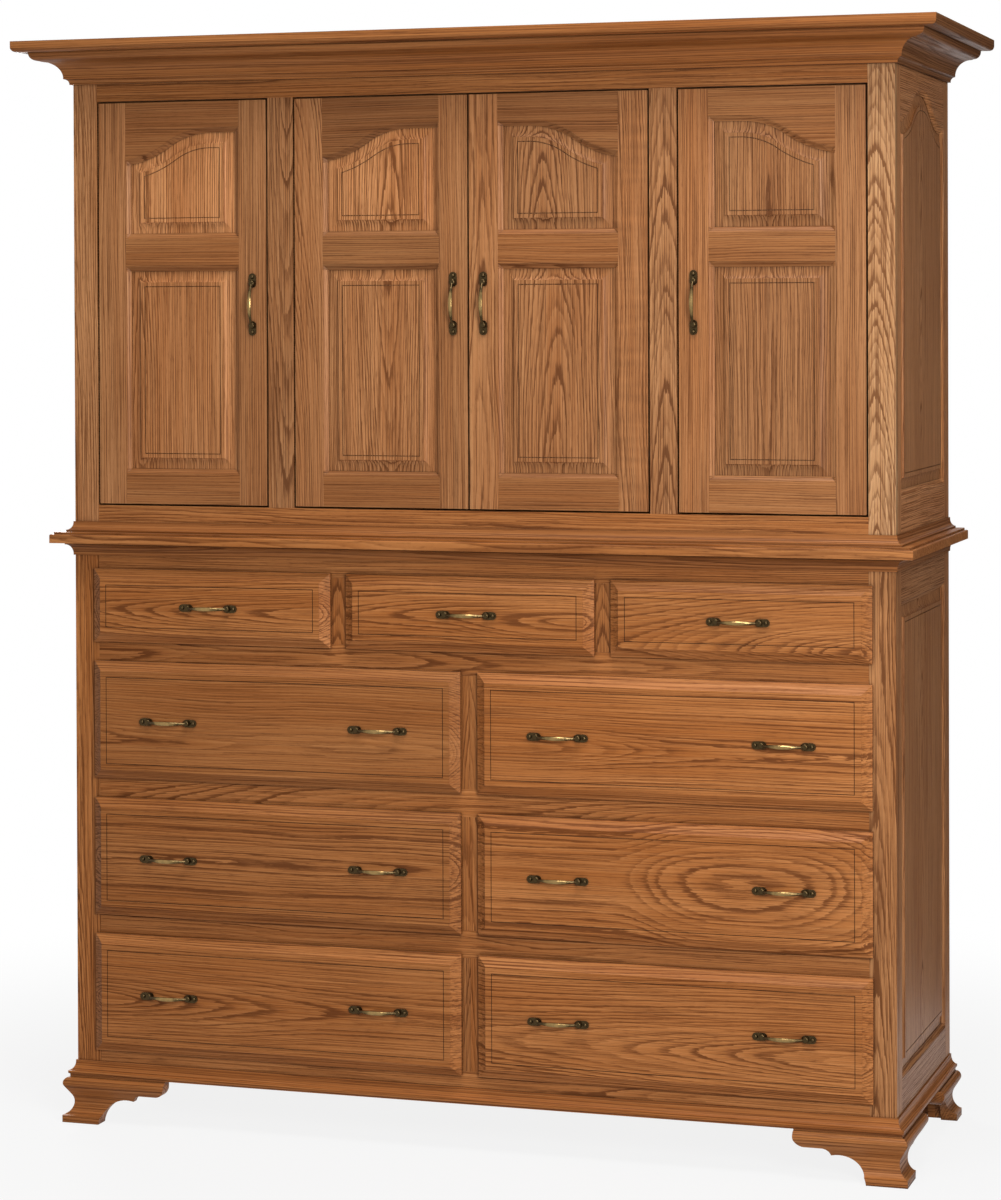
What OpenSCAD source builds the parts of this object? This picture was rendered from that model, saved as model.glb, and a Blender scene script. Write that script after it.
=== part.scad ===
/* [Cases] */
// Width of both cases across their corner stiles
case_w = 1524; // [1400:1:1680]
// Depth of both cases, from the front face to the back edge
case_d = 514; // [480:1:620]
// Thickness of the face frames and side frames
frame_t = 20; // [18:0.5:24]
// Thickness of the shelf, partitions, floors and dust boards
board_t = 19; // [16:0.5:22]
// Thickness of the plywood backs
back_t = 6; // [4:0.5:9]
// Glue line left between two boards of one frame
glue = 0.1; // [0.05:0.05:0.2]
/* [Lower face frame] */
// Width of the corner stiles of both face frames
stile_w = 47; // [40:1:60]
// Height of the rail under the bottom drawers
bottom_rail_h = 56; // [50:1:70]
// Height of the rails between the drawer rows
drawer_rail_h = 49; // [42:1:60]
// Height of the rail over the top drawers
waist_rail_h = 54; // [46:1:66]
// Width of the muntin between the large drawers
muntin_w = 46; // [40:1:60]
// Width of the two muntins between the top drawers
top_muntin_w = 44; // [40:1:60]
/* [Drawers] */
// Height of each large drawer opening
drawer_open_h = 201; // [170:1:230]
// Height of the top drawer openings
top_open_h = 120; // [100:1:150]
// Overlap of a drawer front over its opening, all round
lip = 7; // [5:0.5:9]
// Thickness of a drawer front
front_t = 19; // [17:0.5:22]
// Thickness left at the edge of a drawer front
front_edge_t = 6; // [5:0.5:8]
// Width of the bevel round a drawer front
front_bevel = 17; // [14:0.5:20]
// Distance of the fine bead line from the edge of a drawer front
front_bead = 28; // [24:0.5:34]
// Width of the bead line of a drawer front
front_line_w = 1.4; // [0.8:0.1:2]
// Depth of the bead line of a drawer front
front_line_d = 1; // [0.5:0.1:1.5]
// Space left behind a drawer box, front to back
box_clear = 48; // [40:1:88]
// Thickness of the drawer sides and ends
side_t = 13; // [11:0.5:15]
// Thickness of the drawer bottoms
bottom_t = 6; // [5:0.5:8]
// Height of a drawer bottom above the lower edge of its sides
bottom_up = 12; // [10:1:16]
// Clearance of a drawer box to each side of its opening
side_gap = 1.5; // [1:0.25:2.5]
// Clearance of a drawer box under the top of its opening
top_gap = 5; // [3:0.5:8]
// Running gap between a drawer and what it slides on or closes against
run_gap = 0.3; // [0.3:0.1:0.6]
// Height of the guide strips beside the drawers
guide_h = 30; // [20:1:40]
// Reach of the kicker strips over the drawer sides
kicker_reach = 25; // [18:1:34]
/* [Upper face frame] */
// Height of the rail under the doors
door_rail_h = 49; // [44:1:60]
// Height of the door openings
door_open_h = 738; // [700:1:800]
// Width of the opening of each outer door
side_bay_w = 335; // [320:1:360]
// Width of the mullions beside the middle pair of doors
mullion_w = 49; // [42:1:60]
// Height of the face frame left showing between the doors and the crown
top_rail_show = 32.5; // [20:0.5:45]
// Depth of the case top below the top of the crown
top_drop = 10; // [4:1:20]
// Height of the shelf in the middle bay above the case floor
shelf_up = 365; // [250:1:500]
// Radius of the shelf pins
pin_r = 2.5; // [2:0.25:3]
/* [Doors] */
// Gap round each door
door_gap = 3.25; // [2:0.25:4]
// Thickness of a door
door_t = 19; // [18:0.5:19.5]
// Flat width of a door stile, without its moulded edge
door_stile = 53; // [48:0.5:60]
// Flat height of the bottom rail of a door
door_bottom = 55; // [45:0.5:70]
// Height of the lower panel opening of a door, between the flats
door_panel_h = 378.5; // [350:0.5:400]
// Flat height of the middle rail of a door
door_middle = 50; // [40:0.5:60]
// Flat height of the top rail of a door over the high end of its arch
door_top = 47; // [40:0.5:56]
// Height of the pull centre above the bottom of a door
door_pull_up = 363; // [320:0.5:400]
/* [Arch] */
// Radius of the high curve of the arch
arch_high_r = 151.5; // [135:0.5:170]
// Radius of the low curve of the arch
arch_low_r = 181; // [160:0.5:200]
// Drop from the high end of the arch to its low end
arch_rise = 58.5; // [45:0.5:66]
// Length of the level high end of a door arch
arch_flat = 57; // [45:1:70]
// Half the length of the level peak of a case side arch
peak_flat = 10; // [8:1:16]
/* [Frames and panels] */
// Width of the moulded inner edge of a frame
stick_w = 9.5; // [8:0.25:11]
// Depth of the moulded inner edge
stick_d = 5.6; // [4:0.1:6.4]
// Depth of the panel groove behind the front of a frame
groove_y = 7; // [6.5:0.1:8]
// Width of the panel groove
groove_w = 6.3; // [5.5:0.1:7]
// Depth of the panel groove into the edge
groove_d = 10; // [8:0.5:12]
// Room for a panel to swell in its groove, on each edge
swell = 1.5; // [1:0.5:3]
// Width of the cove round a raised panel
panel_cove = 20; // [15:0.5:24]
// Distance of the fine bead line of a panel from the flat of its frame
panel_bead = 36.5; // [33:0.5:42]
// Depth of a panel's field behind the front of its frame
field_y = 0.5; // [0:0.1:1.5]
// Width of the bead lines
bead_w = 1.7; // [1:0.1:2.4]
// Depth of the bead lines
bead_d = 1.5; // [0.8:0.1:2]
/* [Case sides] */
// Flat width of a side stile, seen from the side
side_stile = 47; // [42:1:60]
// Flat height of the bottom rail of the lower side
low_side_bottom = 85; // [70:1:110]
// Flat height of the top rail of the lower side
low_side_top = 78; // [60:1:100]
// Flat height of the bottom rail of the upper side
high_side_bottom = 83; // [60:1:110]
// Flat height left over the peak of the upper side arch
high_side_top = 95.5; // [90:0.5:110]
/* [Mouldings] */
// Height of the step under each curve of the crown
crown_lip = 1.5; // [1:0.25:2.5]
// Width of the two plain fillets of the crown
crown_fillet = 5.5; // [4:0.25:7]
// Radius of the small cove at the foot of the crown
crown_bed_r = 8.5; // [7:0.25:10]
// Radius of the large cove of the crown
crown_cove_r = 29; // [25:0.5:34]
// Radius of the quarter round over the cove
crown_ovolo_r = 13; // [10:0.5:16]
// Width of the level soffit under the cap
crown_soffit = 16; // [10:0.5:22]
// Radius of the rounded edge of the cap
crown_cap_r = 8.5; // [6:0.25:10]
// Height of the upright band of the cap
crown_band = 11; // [8:0.5:16]
// Thickness of the waist slab
slab_t = 20; // [18:0.5:24]
// Overhang of the waist slab
slab_out = 36; // [30:0.5:42]
// Width of the step on the top edge of the slab
slab_step_w = 6.5; // [5:0.5:8]
// Height of the step on the top edge of the slab
slab_step_h = 4; // [3:0.5:5]
// Radius of the rounded front edge of the slab
slab_r = 2.5; // [1.5:0.25:3.5]
// Height of the cove moulding under the slab
waist_cove_h = 23; // [20:0.5:28]
// Projection of the cove moulding under the slab
waist_cove_out = 15; // [13:0.5:18]
// Height of the moulding over the slab
upper_base_h = 19; // [16:0.5:24]
// Projection of the moulding over the slab
upper_base_out = 13; // [11:0.5:15]
// Height of the moulding over the feet
base_mould_h = 27.5; // [24:0.5:32]
// Projection of the moulding over the feet
base_mould_out = 13.8; // [12:0.2:16]
// Plain edge left at the thin side of the small mouldings
mould_edge = 2.8; // [2:0.2:4]
/* [Feet] */
// Height of the feet
foot_h = 85; // [82:1:95]
// Length of a bracket from the corner of the case
foot_len = 178; // [165:1:200]
// Projection of the toe of a foot beyond the case
toe_out = 22; // [20:0.5:26]
// Height of the upright toe
toe_h = 13; // [10:0.5:16]
// Reach of the brackets behind the face of the case
foot_in = 8; // [6:0.5:12]
// Size of the square glue block inside each foot
foot_block = 25; // [20:1:35]
/* [Hardware] */
// Distance between the two screws of a pull
pull_centres = 76; // [70:1:96]
// Overall length of a pull
pull_len = 112; // [106:1:140]
// Length of each end plate of a pull
plate_len = 26; // [23:0.5:28]
// Width of each end plate of a pull
plate_w = 13.6; // [12:0.2:16]
// Projection of a pull from what it is screwed to
pull_out = 21; // [19:0.5:27]
// Half height of the bow at its middle
bow_r = 3.9; // [3.2:0.1:5]
// Half height of the bow at its ends
bow_end_r = 2; // [1.6:0.1:2.6]
// Distance between the two pulls of a large drawer
pull_pitch = 404; // [340:1:440]
// Radius of the pull screws
screw_r = 2; // [1.5:0.1:2.5]
// Radial clearance of the screw holes
screw_gap = 0.4; // [0.2:0.1:0.6]
// Radius of the hinge cups
cup_r = 17.5; // [17:0.1:18]
// Depth of the hinge cups in the door
cup_d = 11.5; // [10:0.5:11.5]
// Wood left between a hinge cup and the edge of the door
cup_edge = 4.5; // [3:0.5:6]
// Distance of the hinge centres from the ends of a door
hinge_in = 100; // [80:1:140]
/* [Hidden] */
$fn = 48;
OAK = "#a06a38";
OAK_DARK = "#8f5a30";
OAK_LIGHT = "#ab7647";
PLY = "#c49a68";
BRASS = "#8a7a3a";
STEEL = "#b8b8b4";

crown_out = 2 * crown_fillet + crown_bed_r + crown_cove_r + crown_ovolo_r + crown_soffit + crown_cap_r;
crown_h = 4 * crown_lip + crown_bed_r + crown_cove_r + crown_ovolo_r + crown_cap_r + crown_band;
front_y = crown_out - (case_d + crown_out) / 2;
row_pitch = drawer_open_h + drawer_rail_h;
row_base = foot_h + bottom_rail_h;
top_row_z = row_base + 3 * row_pitch;
slab_z = top_row_z + top_open_h + waist_rail_h;
upper_z = slab_z + slab_t;
door_open_z = upper_z + door_rail_h;
door_open_top = door_open_z + door_open_h;
crown_z = door_open_top + top_rail_show;
case_top = crown_z + crown_h - top_drop;
opening_w = (case_w - 2 * stile_w - muntin_w) / 2;
top_opening_w = (case_w - 2 * stile_w - 2 * top_muntin_w) / 3;
centre_bay_w = case_w - 2 * (stile_w + side_bay_w + mullion_w);
inner_x = case_w / 2 - frame_t - glue;
behind_y = frame_t + glue;
depth_inside = case_d - back_t - glue - behind_y;
box_d = case_d - back_t - box_clear;
mullion_x = centre_bay_w / 2 + mullion_w / 2;
door_h = door_open_h - 2 * door_gap;
door_z = door_open_z + door_gap;
outer_door_w = side_bay_w - 2 * door_gap;
centre_door_w = (centre_bay_w - 3 * door_gap) / 2;
tongue_u = stick_w - groove_d + swell;
groove_back = groove_y + groove_w;
tongue_gap = 0.15;
mould_steps = 8;
past = 90;
block_lift = 2;
stop_w = 20;
stop_t = 12;
stop_show = 6;

// Each drawer is its name, its opening's left side, bottom, width and height, and its pulls.
DRAWERS = concat(
    [for (i = [0:2]) [["top_left", "top_centre", "top_right"][i],
        -case_w / 2 + stile_w + i * (top_opening_w + top_muntin_w), top_row_z, top_opening_w, top_open_h, 1]],
    [for (row = [0:2], side = [0:1])
        [str(["bottom", "middle", "upper"][row], side == 0 ? "_left" : "_right"),
        side == 0 ? -opening_w - muntin_w / 2 : muntin_w / 2,
        row_base + row * row_pitch, opening_w, drawer_open_h, 2]]);
// Each door is its name, its hinged edge's distance from the middle, its width and its side.
DOORS = [
    ["left", case_w / 2 - stile_w - door_gap, outer_door_w, -1],
    ["centre_left", centre_bay_w / 2 - door_gap, centre_door_w, -1],
    ["centre_right", centre_bay_w / 2 - door_gap, centre_door_w, 1],
    ["right", case_w / 2 - stile_w - door_gap, outer_door_w, 1]];

// Points along an arc, from one angle to another.
function arc(cx, cy, r, a0, a1, n = mould_steps) =
    [for (i = [0:n]) let (a = a0 + (a1 - a0) * i / n) [cx + r * cos(a), cy + r * sin(a)]];
function reversed(list) = [for (i = [len(list) - 1:-1:0]) list[i]];

// Puts its children's front plane on the front face of the cases.
module at_front() {
    translate([0, front_y, 0]) children();
}
// Draws along the right side from its front corner, outer face first, and again on the left side.
module on_both_sides() {
    for (side = [0, 1])
        mirror([side, 0, 0]) translate([case_w / 2, 0, 0]) rotate([0, 0, 90]) children();
}
// A board by its lowest corner and its size.
module board(corner, size) {
    translate(corner) cube(size);
}

// Three mitred lengths of a moulding round the front and sides: points are projection and height.
module moulding(points, out) {
    top = max([for (q = points) q[1]]);
    half = case_w / 2;
    intersection() {
        translate([-half - out, 0, 0]) rotate([90, 0, 90]) linear_extrude(case_w + 2 * out)
            polygon([for (q = points) [-q[0], q[1]]]);
        linear_extrude(top + 1)
            polygon([[-half + glue, 0], [half - glue, 0], [half + out - glue, -out], [-half - out + glue, -out]]);
    }
    for (side = [0, 1])
        mirror([side, 0, 0]) intersection() {
            translate([half, case_d, 0]) rotate([90, 0, 0]) linear_extrude(case_d + out)
                polygon(points);
            linear_extrude(top + 1)
                polygon([[half, 0], [half, case_d], [half + out, case_d], [half + out, -out]]);
        }
}

// The crown's section, from its foot up: small cove, large cove, quarter round, soffit and rounded cap.
function crown_section() =
    let (
        p1 = crown_fillet + crown_bed_r,
        p2 = p1 + crown_cove_r,
        p3 = p2 + crown_fillet,
        p4 = p3 + crown_ovolo_r + crown_soffit,
        h1 = 2 * crown_lip + crown_bed_r,
        h2 = h1 + crown_cove_r + crown_lip,
        h3 = h2 + crown_ovolo_r + crown_lip
    )
    concat(
        [[0, 0], [crown_fillet, 0]],
        arc(p1, crown_lip, crown_bed_r, 180, 90),
        arc(p2, h1, crown_cove_r, 180, 90, 2 * mould_steps),
        arc(p3, h2 + crown_ovolo_r, crown_ovolo_r, -90, 0),
        [[p3 + crown_ovolo_r, h3]],
        arc(p4, h3 + crown_cap_r, crown_cap_r, -90, 0),
        [[crown_out, crown_h], [0, crown_h]]);
module crown_moulding() {
    color(OAK_DARK) at_front() translate([0, 0, crown_z]) moulding(crown_section(), crown_out);
}

// A hollow between two plain edges, for the mouldings over and under the slab and over the feet.
function hollow_section(h, out, edge, lean) =
    let (rise = h - 2 * edge, run = out - edge)
    concat(
        [[0, h], [edge, h]],
        [for (i = [0:mould_steps]) let (a = 90 * i / mould_steps)
            [edge + run * (1 - cos(a)), h - edge * lean - rise * sin(a)]],
        [[out, 0], [0, 0]]);
module upper_base_moulding() {
    color(OAK_DARK) at_front() translate([0, 0, upper_z])
        moulding(hollow_section(upper_base_h, upper_base_out, mould_edge, 0.8), upper_base_out);
}
module waist_cove_moulding() {
    points = hollow_section(waist_cove_h, waist_cove_out, mould_edge, 0.8);
    color(OAK_DARK) at_front() translate([0, 0, slab_z - waist_cove_h])
        moulding([for (q = points) [q[0], waist_cove_h - q[1]]], waist_cove_out);
}
// The moulding over the feet turns under again below its widest line.
module base_moulding() {
    under = base_mould_out - mould_edge;
    nose = 2 * mould_edge;
    body = hollow_section(base_mould_h - nose, base_mould_out, mould_edge, 0.8);
    points = concat([for (i = [0:len(body) - 3]) [body[i][0], body[i][1] + nose]],
        arc(under, nose, mould_edge, 0, -90, 4), [[under, 0], [0, 0]]);
    color(OAK_DARK) at_front() translate([0, 0, foot_h]) moulding(points, base_mould_out);
}

// The slab has a rounded edge and one step along its front and sides.
module waist_slab() {
    w = case_w + 2 * slab_out;
    cut = concat([[-1, slab_step_h + slab_r]],
        arc(slab_r, slab_step_h + slab_r, slab_r, 180, 270, 4),
        [[slab_step_w, slab_step_h], [slab_step_w, -1], [-1, -1]]);
    color(OAK) at_front() translate([0, 0, slab_z]) difference() {
        board([-w / 2, -slab_out, 0], [w, case_d + slab_out, slab_t]);
        translate([-w / 2 - 1, -slab_out, slab_t]) rotate([90, 0, 90]) linear_extrude(w + 2)
            polygon([for (q = cut) [q[0], -q[1]]]);
        for (side = [0, 1])
            mirror([side, 0, 0]) translate([w / 2, case_d + 1, slab_t]) rotate([90, 0, 0])
                linear_extrude(case_d + slab_out + 2) polygon([for (q = cut) [-q[0], -q[1]]]);
    }
}

// The moulded edge of a frame, across from the flat and down from the face.
function stick_curve() =
    let (step = 0.8)
    concat([[0, 0]], [for (i = [0:mould_steps]) let (t = i / mould_steps)
        [0.4 * step + (stick_w - 0.4 * step) * t, step + (stick_d - step) * (1 - cos(180 * t)) / 2]]);
// The whole inner edge of a frame member: moulding, groove and back.
function edge_section(t) = concat(stick_curve(), [
    [stick_w, groove_y], [stick_w - groove_d, groove_y], [stick_w - groove_d, groove_back],
    [stick_w, groove_back], [stick_w, t]]);
// A stile from its outer edge to the line where its moulded edge starts.
module frame_stile(edge_x, line_x, z0, z1, t) {
    way = line_x > edge_x ? 1 : -1;
    translate([0, 0, z0]) linear_extrude(z1 - z0)
        polygon(concat([[edge_x, 0]], [for (q = edge_section(t)) [line_x + way * q[0], q[1]]], [[edge_x, t]]));
}
// One end of a rail, coped over the stile's moulded edge and tenoned into its groove.
function coped_end(t) = concat(
    [[glue, 0]],
    [for (q = stick_curve()) if (q[1] > glue) [q[0] + glue, q[1] - glue]],
    [[stick_w + glue, groove_y + glue], [stick_w - groove_d + glue, groove_y + glue],
    [stick_w - groove_d + glue, groove_back - glue], [stick_w + glue, groove_back - glue],
    [stick_w + glue, t]]);
// The plan of a rail between the moulding lines of its two stiles.
module rail_plan(xa, xb, t) {
    polygon(concat(
        [for (q = coped_end(t)) [xa + q[0], q[1]]],
        [for (q = reversed(coped_end(t))) [xb - q[0], q[1]]]));
}
// A straight rail; an edge is moulded where its flag says so.
module frame_rail(xa, xb, z0, z1, t, low_moulded, high_moulded) {
    high = high_moulded ? [for (q = edge_section(t)) [q[1], z1 + q[0]]] : [[0, z1], [t, z1]];
    low = low_moulded ? [for (q = edge_section(t)) [q[1], z0 - q[0]]] : [[0, z0], [t, z0]];
    intersection() {
        translate([0, 0, z0 - stick_w - 1]) linear_extrude(z1 - z0 + 2 * stick_w + 2) rail_plan(xa, xb, t);
        translate([xa - groove_d, 0, 0]) rotate([90, 0, 90]) linear_extrude(xb - xa + 2 * groove_d)
            polygon(concat(high, reversed(low)));
    }
}

// Sweeps a profile down one slope of the arch, from its high end at the origin towards -X.
// The profile's first coordinate points down across the arch and its second one back from the face.
// The curves cross at a hair's angle where they meet, and the one that lies inside the cut runs on past that point.
module along_slope(over_low, cuts_below) {
    sum = arch_high_r + arch_low_r - 0.05;
    dz = arch_high_r + arch_low_r - arch_rise;
    dx = sqrt(sum * sum - dz * dz);
    turn = atan2(dx, dz);
    run_on = turn + 35;
    translate([0, 0, -arch_high_r]) mirror([1, 0, 0]) rotate([-90, 0, 0]) rotate([0, 0, -90])
        rotate_extrude(angle = cuts_below ? run_on : turn) translate([arch_high_r, 0]) mirror([1, 0]) children();
    translate([-dx, 0, dz - arch_high_r]) mirror([1, 0, 0]) rotate([-90, 0, 0]) rotate([0, 0, 90])
        rotate_extrude(angle = cuts_below ? turn : run_on) translate([arch_low_r, 0]) children();
    translate([-dx - over_low, 0, -arch_rise]) rotate([0, 90, 0]) linear_extrude(over_low) children();
}
// Sweeps a profile along the level top of the arch.
module along_top(x0, x1) {
    translate([x0, 0, 0]) rotate([0, 90, 0]) linear_extrude(x1 - x0) children();
}
// The arch over an opening: one slope down from the right end, or two slopes from a middle peak.
module arch_over(xa, xb, z, peaked, cuts_below) {
    if (peaked) {
        translate([(xa + xb) / 2, 0, z]) {
            along_top(-peak_flat, peak_flat) children();
            for (side = [0, 1])
                mirror([side, 0, 0]) translate([-peak_flat, 0, 0]) along_slope(past, cuts_below) children();
        }
    } else {
        translate([xb, 0, z]) {
            along_top(-arch_flat, stick_w + groove_d) children();
            translate([-arch_flat, 0, 0]) along_slope(past, cuts_below) children();
        }
    }
}
// A top rail whose moulded lower edge follows the arch.
module arched_rail(xa, xb, line_z, top_z, t, peaked) {
    low = line_z - arch_rise - stick_w;
    difference() {
        translate([0, 0, low]) linear_extrude(top_z - low) rail_plan(xa, xb, t);
        arch_over(xa, xb, line_z, peaked, true)
            polygon(concat([[0, -1]], edge_section(t), [[stick_w, t + 1], [past - 10, t + 1], [past - 10, -1]]));
    }
}

// What is cut away round a raised panel, from outside its edge to the edge of its flat band.
function raise_cut() = concat(
    [[-past, -1], [stick_w + panel_cove, -1]],
    [for (i = [0:mould_steps]) let (a = 90 * (1 - i / mould_steps))
        [stick_w + panel_cove * sin(a),
        groove_y + tongue_gap - (groove_y + tongue_gap - field_y - bead_d) * (1 - cos(a))]],
    [[tongue_u, groove_y + tongue_gap], [tongue_u, door_t], [-past, door_t]]);
// A straight cut along the lower edge of a panel, and the same turned to its two sides.
module cut_low(xa, xb, za) {
    translate([xa - 1, 0, za]) rotate([90, 0, 90]) linear_extrude(xb - xa + 2)
        polygon([for (q = raise_cut()) [q[1], q[0]]]);
}
module cut_sides(xa, xb, za, zb) {
    translate([0, 0, za - 1]) linear_extrude(zb - za + 2) {
        polygon([for (q = raise_cut()) [xa + q[0], q[1]]]);
        polygon([for (q = raise_cut()) [xb - q[0], q[1]]]);
    }
}
// The shape inside a line that runs at one distance from all edges of the panel.
module panel_field(xa, xb, za, zb, in, y0, y1, arched, peaked) {
    difference() {
        board([xa + in, y0, za + in], [xb - xa - 2 * in, y1 - y0, zb - za - (arched ? 0 : 2) * in]);
        if (arched)
            arch_over(xa, xb, zb, peaked, false) translate([-past, y0 - 1]) square([past + in, y1 - y0 + 2]);
    }
}
// A raised panel: its corners are the lines where the frame's flats end.
module raised_panel(xa, xb, za, zb, arched = false, peaked = false) {
    difference() {
        board([xa, field_y, za], [xb - xa, groove_back - tongue_gap - field_y, zb - za]);
        cut_low(xa, xb, za);
        cut_sides(xa, xb, za, zb);
        if (arched)
            arch_over(xa, xb, zb, peaked, false) polygon(raise_cut());
        else
            translate([0, 0, zb + za]) mirror([0, 0, 1]) cut_low(xa, xb, za);
        difference() {
            panel_field(xa, xb, za, zb, panel_bead, field_y - 1, field_y + bead_d, arched, peaked);
            panel_field(xa, xb, za, zb, panel_bead + bead_w, field_y - 2, field_y + bead_d + 1, arched, peaked);
        }
    }
}

module upper_face_frame() {
    color(OAK_LIGHT) at_front() {
        for (side = [-1, 1])
            board([side * (case_w / 2 - stile_w / 2) - stile_w / 2, 0, upper_z], [stile_w, frame_t, case_top - upper_z]);
        for (side = [-1, 1])
            board([side * mullion_x - mullion_w / 2, 0, door_open_z + glue], [mullion_w, frame_t, door_open_h - 2 * glue]);
        rail_w = case_w - 2 * stile_w - 2 * glue;
        board([-rail_w / 2, 0, upper_z], [rail_w, frame_t, door_rail_h]);
        board([-rail_w / 2, 0, door_open_top], [rail_w, frame_t, case_top - door_open_top]);
    }
}
module lower_face_frame() {
    rail_w = case_w - 2 * stile_w - 2 * glue;
    color(OAK_LIGHT) at_front() {
        for (side = [-1, 1])
            board([side * (case_w / 2 - stile_w / 2) - stile_w / 2, 0, foot_h], [stile_w, frame_t, slab_z - foot_h]);
        board([-rail_w / 2, 0, foot_h], [rail_w, frame_t, bottom_rail_h]);
        board([-rail_w / 2, 0, slab_z - waist_rail_h], [rail_w, frame_t, waist_rail_h]);
        for (row = [0:2]) {
            z = row_base + row * row_pitch;
            board([-rail_w / 2, 0, z + drawer_open_h], [rail_w, frame_t, drawer_rail_h]);
            board([-muntin_w / 2, 0, z + glue], [muntin_w, frame_t, drawer_open_h - 2 * glue]);
        }
        for (side = [-1, 1])
            board([side * (top_opening_w + top_muntin_w) / 2 - top_muntin_w / 2, 0, top_row_z + glue],
                [top_muntin_w, frame_t, top_open_h - 2 * glue]);
    }
}
// The frame of a case side: two stiles, a bottom rail and a top rail that may be arched.
module side_frame(z0, z1, bottom, top, arched) {
    xa = side_stile;
    xb = case_d - side_stile;
    frame_stile(behind_y, xa, z0, z1, frame_t);
    frame_stile(case_d, xb, z0, z1, frame_t);
    frame_rail(xa, xb, z0, z0 + bottom, frame_t, false, true);
    if (arched)
        arched_rail(xa, xb, z1 - top, z1, frame_t, true);
    else
        frame_rail(xa, xb, z1 - top, z1, frame_t, true, false);
}
module lower_side_frames() {
    color(OAK_LIGHT) at_front() on_both_sides()
        side_frame(foot_h, slab_z, low_side_bottom, low_side_top, false);
}
module upper_side_frames() {
    color(OAK_LIGHT) at_front() on_both_sides()
        side_frame(upper_z, case_top, high_side_bottom, high_side_top, true);
}
module side_panels() {
    xa = side_stile;
    xb = case_d - side_stile;
    color(OAK) at_front() on_both_sides() {
        raised_panel(xa, xb, foot_h + low_side_bottom, slab_z - low_side_top);
        raised_panel(xa, xb, upper_z + high_side_bottom, case_top - high_side_top, true, true);
    }
}
module back_panels() {
    color(PLY) at_front() {
        board([-inner_x, case_d - back_t, foot_h], [2 * inner_x, back_t, slab_z - foot_h]);
        board([-inner_x, case_d - back_t, upper_z], [2 * inner_x, back_t, case_top - upper_z]);
    }
}
// Floor, top and two partitions of the upper case, and the strips that the doors close against.
module upper_case_boards() {
    clear_h = case_top - board_t - door_open_z;
    color(OAK) at_front() {
        board([-inner_x, behind_y, door_open_z - board_t], [2 * inner_x, depth_inside, board_t]);
        board([-inner_x, behind_y, case_top - board_t], [2 * inner_x, depth_inside, board_t]);
        for (side = [-1, 1])
            board([side * mullion_x - board_t / 2, behind_y, door_open_z + glue],
                [board_t, depth_inside, clear_h - 2 * glue]);
        overlap = mullion_w / 2 - board_t / 2 - 2 * door_gap;
        board([-centre_bay_w / 2 - overlap, behind_y, door_open_top - stop_show],
            [centre_bay_w + 2 * overlap, stop_t, stop_w]);
        for (side = [-1, 1])
            board([side * (mullion_x + mullion_w / 2 + side_bay_w / 2) - side_bay_w / 2 - overlap, behind_y,
                door_open_top - stop_show], [side_bay_w + 2 * overlap, stop_t, stop_w]);
    }
}
module shelf() {
    half = mullion_x - board_t / 2 - glue;
    z = door_open_z + shelf_up;
    shelf_front = 45;
    pin_reach = 9;
    pin_in = 60;
    shelf_depth = depth_inside + behind_y - shelf_front - glue;
    color(OAK) at_front() {
        board([-half + side_gap, shelf_front, z], [2 * (half - side_gap), shelf_depth, board_t]);
        for (side = [-1, 1], y = [shelf_front + pin_in, shelf_front + shelf_depth - pin_in])
            color(STEEL) translate([side * (half - pin_reach / 2), y, z - pin_r - glue])
                rotate([0, 90, 0]) cylinder(r = pin_r, h = pin_reach, center = true);
    }
}
// Boards under each row of drawers, on which the drawers slide.
module dust_boards() {
    color(OAK) at_front()
        for (row = [0:3])
            board([-inner_x, behind_y, row_base + row * row_pitch - board_t], [2 * inner_x, depth_inside, board_t]);
}
// A guide strip on the board below and a kicker strip under the board above, beside one drawer side.
module guide_and_kicker(x0, x1, reach0, reach1, z, open_h, ceiling_z) {
    board([x0, behind_y, z + glue], [x1 - x0, depth_inside, guide_h]);
    board([x0 - reach0, behind_y, z + open_h], [x1 - x0 + reach0 + reach1, depth_inside, ceiling_z - z - open_h - glue]);
}
module drawer_guides() {
    edge = case_w / 2 - stile_w;
    color(OAK) at_front() {
        for (row = [0:3]) {
            z = row_base + row * row_pitch;
            open_h = row == 3 ? top_open_h : drawer_open_h;
            ceiling_z = row == 3 ? slab_z : z + row_pitch - board_t;
            guide_and_kicker(-inner_x, -edge, 0, kicker_reach, z, open_h, ceiling_z);
            guide_and_kicker(edge, inner_x, kicker_reach, 0, z, open_h, ceiling_z);
            middles = row == 3 ? [-1, 1] * (top_opening_w + top_muntin_w) / 2 : [0];
            half = (row == 3 ? top_muntin_w : muntin_w) / 2;
            for (x = middles)
                guide_and_kicker(x - half, x + half, kicker_reach, kicker_reach, z, open_h, ceiling_z);
        }
    }
}

// A bracket seen from its outer face: distance from the case corner and height.
module bracket_outline() {
    scroll_r = 50.5;
    scroll_x = 100;
    scroll_z = -6;
    cusp_r = 16;
    cusp_x = 129;
    under_z = 55;
    lobe_r = 19.5;
    difference() {
        translate([-toe_out, 0]) square([foot_len + toe_out, foot_h]);
        translate([scroll_x, scroll_z]) circle(r = scroll_r);
        translate([cusp_x, under_z - cusp_r]) circle(r = cusp_r);
        translate([cusp_x, -1]) square([foot_len, under_z + 1]);
        difference() {
            translate([foot_len - lobe_r, under_z - 1]) square([lobe_r + 1, lobe_r + 1]);
            translate([foot_len - lobe_r, under_z + lobe_r]) circle(r = lobe_r);
        }
    }
}
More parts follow.
